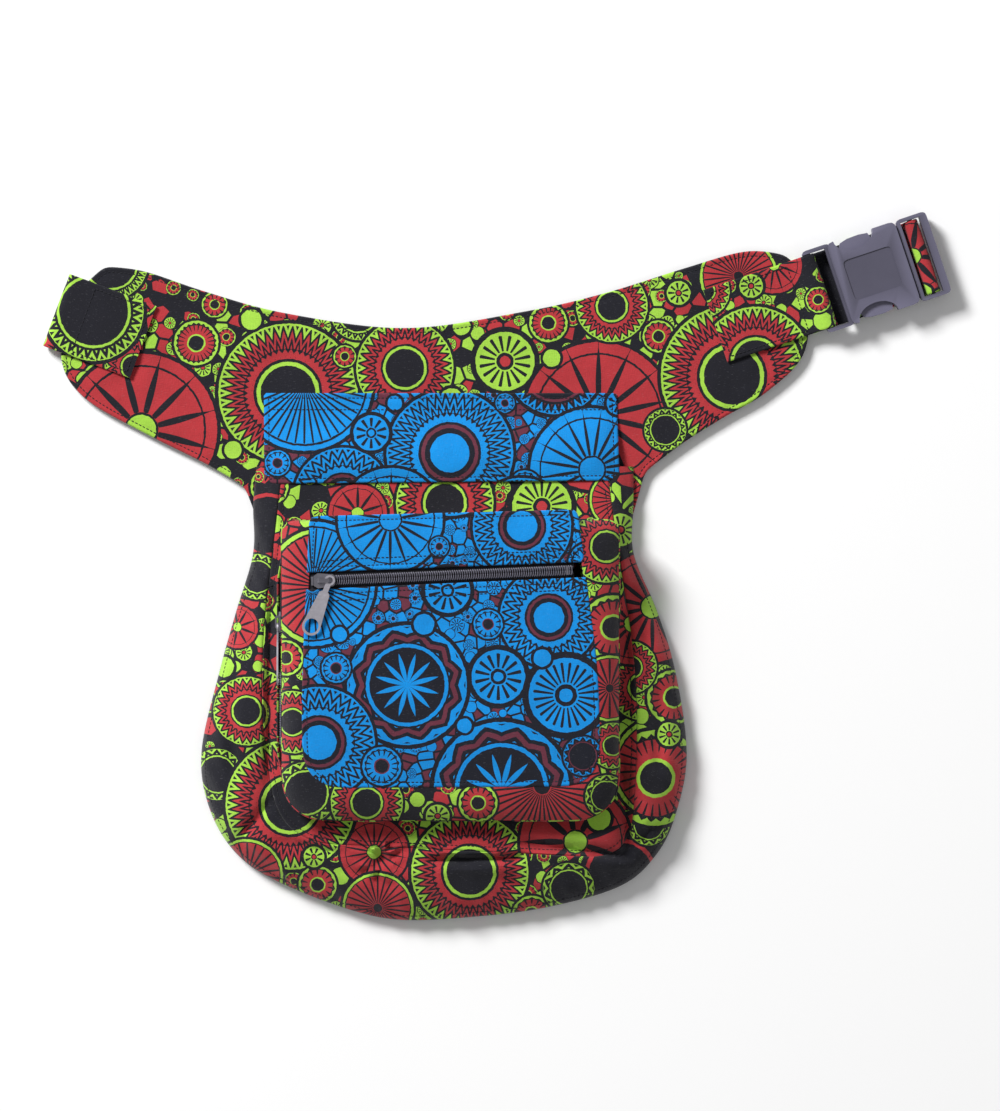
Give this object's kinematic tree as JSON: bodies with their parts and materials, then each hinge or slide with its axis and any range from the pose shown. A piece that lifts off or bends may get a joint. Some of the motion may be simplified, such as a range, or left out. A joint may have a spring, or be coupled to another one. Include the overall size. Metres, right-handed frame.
{
  "type": "waist pack",
  "caption": "Cloth waist pack with shaped belt wings, flap pouch, zipped patch pocket and a side-release buckle on a webbing-width cloth strap.",
  "frame": {"origin": "on the flat back face of the pouch, on its centre line", "axes": "+X to the right along the belt seen from the front, +Y up towards the belt, +Z out of the front; the pack lies on its back"},
  "size_m": [0.5437, 0.4241, 0.0526],
  "materials": {
    "print_cloth": "printed cotton in red, lime and black",
    "blue_print_cloth": "printed cotton in blue, black and maroon",
    "lining_cloth": "plain black cotton",
    "zip_tape": "black woven tape",
    "zip_coil": "black nylon coil",
    "zip_metal": "nickel-plated zinc",
    "buckle_plastic": "dark grey moulded acetal",
    "thread": "black sewing thread"
  },
  "bodies": {
    "root": {"back_panel": "lining_cloth", "belt_outer_panel": "print_cloth", "pouch_gusset": "print_cloth", "pouch_front_panel": "print_cloth", "mouth_binding": "lining_cloth", "loop_tape": "zip_tape", "rear_pocket_gusset": "print_cloth", "pocket_divider": "lining_cloth", "front_pocket_gusset": "print_cloth", "pocket_face_upper": "blue_print_cloth", "pocket_face_lower": "blue_print_cloth", "front_zip_tape_upper": "zip_tape", "front_zip_tape_lower": "zip_tape", "front_zip_coil_upper": "zip_coil", "front_zip_coil_lower": "zip_coil", "front_zip_stop_left": "zip_metal", "front_zip_stop_right": "zip_metal", "side_zip_tape_front": "zip_tape", "side_zip_tape_rear": "zip_tape", "side_zip_coil_front": "zip_coil", "side_zip_coil_rear": "zip_coil", "side_zip_stop_top": "zip_metal", "side_zip_stop_bottom": "zip_metal", "strap_middle": "print_cloth"},
    "flap": {"flap": "blue_print_cloth", "hook_tape": "zip_tape"},
    "left_wing": {"left_wing_lining": "lining_cloth", "left_wing_outer": "print_cloth", "strap_left": "print_cloth"},
    "right_wing": {"right_wing_lining": "lining_cloth", "right_wing_outer": "print_cloth", "strap_right": "print_cloth", "wing_patch_right": "print_cloth", "buckle_socket": "buckle_plastic"},
    "buckle_plug": {"buckle_plug_frame": "buckle_plastic", "strap_slide_loop": "print_cloth"},
    "prong_upper": {"buckle_prong_upper": "buckle_plastic"},
    "prong_lower": {"buckle_prong_lower": "buckle_plastic"},
    "front_slider": {"front_zip_slider": "zip_metal"},
    "front_pull": {"front_zip_pull": "zip_metal"},
    "side_slider": {"side_zip_slider": "zip_metal"},
    "side_pull": {"side_zip_pull": "zip_metal"}
  },
  "joints": [
    {"name": "flap_lift", "type": "hinge", "parent": "root", "child": "flap", "pos_m": [0, 0.184, 0.00675], "axis": [-1, 0, 0], "range_deg": [0, 150]},
    {"name": "left_wing_bend", "type": "hinge", "parent": "root", "child": "left_wing", "pos_m": [-0.128, 0.2, 0.0058], "axis": [0, 1, 0], "range_deg": [0, 75]},
    {"name": "right_wing_bend", "type": "hinge", "parent": "root", "child": "right_wing", "pos_m": [0.128, 0.2, 0.0058], "axis": [0, -1, 0], "range_deg": [0, 75]},
    {"name": "buckle_release", "type": "slide", "parent": "right_wing", "child": "buckle_plug", "axis": [0.9483, 0.3173, 0], "range_m": [0, 0.035], "deforming": ["buckle_prong_upper", "buckle_prong_lower"]},
    {"name": "prong_upper_press", "type": "hinge", "parent": "buckle_plug", "child": "prong_upper", "pos_m": [0.27246, 0.27601, 0.0084], "axis": [0, 0, 1], "range_deg": [0, 12]},
    {"name": "prong_lower_press", "type": "hinge", "parent": "buckle_plug", "child": "prong_lower", "pos_m": [0.28147, 0.24907, 0.0084], "axis": [0, 0, -1], "range_deg": [0, 12]},
    {"name": "front_zip_slide", "type": "slide", "parent": "root", "child": "front_slider", "axis": [0.9991, 0.0419, 0], "range_m": [0, 0.134], "deforming": ["front_zip_coil_upper", "front_zip_coil_lower"]},
    {"name": "front_pull_swivel", "type": "hinge", "parent": "front_slider", "child": "front_pull", "pos_m": [-0.0677, 0.072, 0.0508], "axis": [0, 0, 1], "range_deg": [-35, 120]},
    {"name": "side_zip_slide", "type": "slide", "parent": "root", "child": "side_slider", "axis": [0, -1, 0], "range_m": [0, 0.066], "deforming": ["side_zip_coil_front", "side_zip_coil_rear"]},
    {"name": "side_pull_swivel", "type": "hinge", "parent": "side_slider", "child": "side_pull", "pos_m": [-0.0993, 0.0437, 0.0316], "axis": [-1, 0, 0], "range_deg": [0, 100]}
  ],
  "couplings": [
    {"joint": "prong_lower_press", "follows": "prong_upper_press", "ratio": 1}
  ]
}
